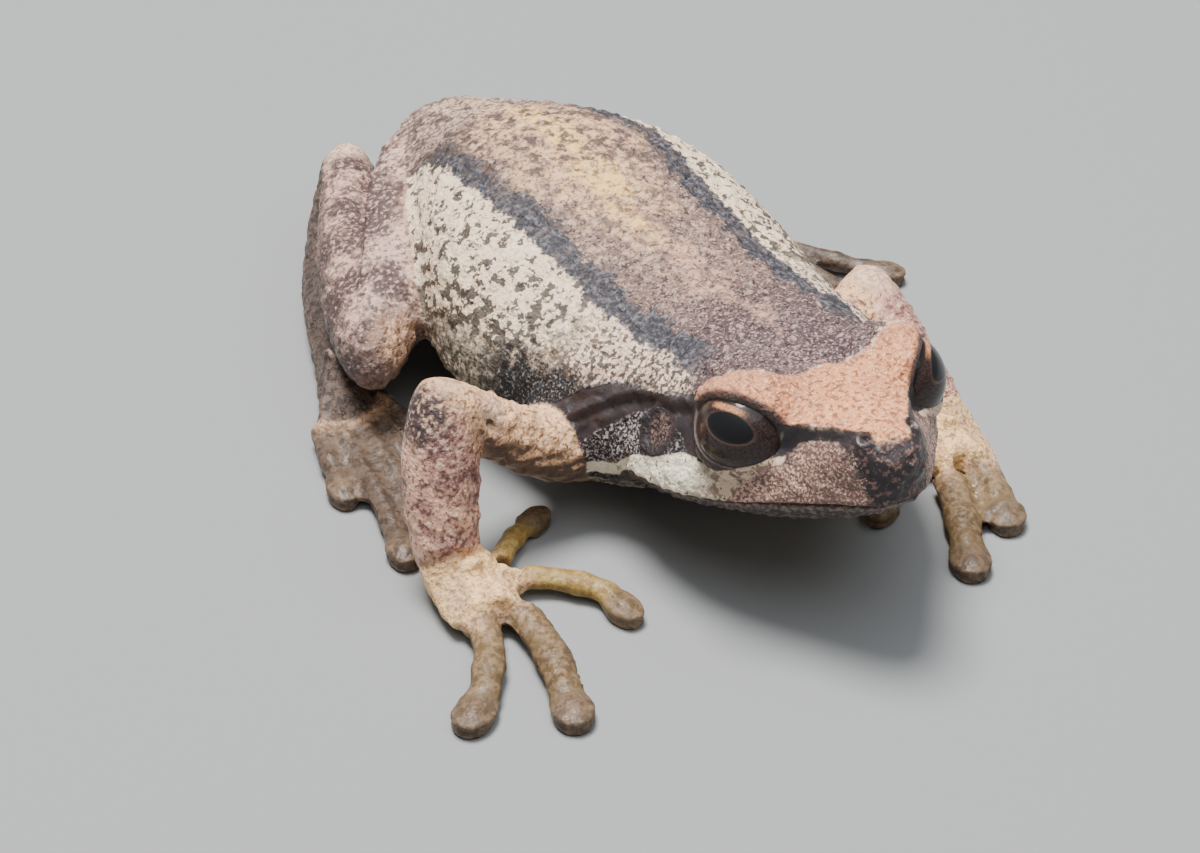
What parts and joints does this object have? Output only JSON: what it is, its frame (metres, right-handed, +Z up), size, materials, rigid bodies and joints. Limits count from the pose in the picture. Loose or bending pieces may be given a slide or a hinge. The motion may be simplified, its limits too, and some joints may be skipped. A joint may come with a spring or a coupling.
{
  "type": "southern brown tree frog model",
  "caption": "Life-size still model of a brown tree frog at rest, head raised, right arm spread, left hand under the snout, hind legs folded.",
  "frame": {"origin": "middle of the bounding box, at the floor that the frog sits on", "axes": "-Y ahead of the frog, +X towards its own left, +Z up"},
  "size_m": [0.037, 0.0449, 0.0122],
  "materials": {
    "body_skin": "fine granular skin, mauve brown back with slate edges, cream bands and flecked flanks",
    "head_skin": "fine granular skin, peach snout and eyelids, dark stripe through the nostril and eye",
    "jaw_skin": "smooth dark brown lip, speckled throat",
    "limb_skin": "finely wrinkled skin, mottled red brown and tan",
    "digit_skin": "smooth moist olive brown skin with darker discs",
    "eye": "wet gloss, black level pupil in a dark brown iris with a copper upper edge"
  },
  "bodies": {
    "root": {"head": "head_skin", "lower_jaw": "jaw_skin", "eye_left": "eye", "eye_right": "eye", "trunk": "body_skin", "right_upper_arm": "limb_skin", "right_forearm": "limb_skin", "right_hand": "limb_skin", "right_finger_1": "digit_skin", "right_finger_2": "digit_skin", "right_finger_3": "digit_skin", "right_finger_4": "digit_skin", "left_upper_arm": "limb_skin", "left_forearm": "limb_skin", "left_hand": "limb_skin", "left_finger_1": "digit_skin", "left_finger_2": "digit_skin", "left_finger_3": "digit_skin", "left_finger_4": "digit_skin", "right_thigh": "limb_skin", "right_shank": "limb_skin", "right_tarsus": "limb_skin", "right_foot": "limb_skin", "right_toe_1": "digit_skin", "right_toe_2": "digit_skin", "right_toe_3": "digit_skin", "right_toe_4": "digit_skin", "right_toe_5": "digit_skin", "left_thigh": "limb_skin", "left_shank": "limb_skin", "left_tarsus": "limb_skin", "left_foot": "limb_skin", "left_toe_1": "digit_skin", "left_toe_2": "digit_skin", "left_toe_3": "digit_skin", "left_toe_4": "digit_skin", "left_toe_5": "digit_skin"}
  },
  "joints": []
}
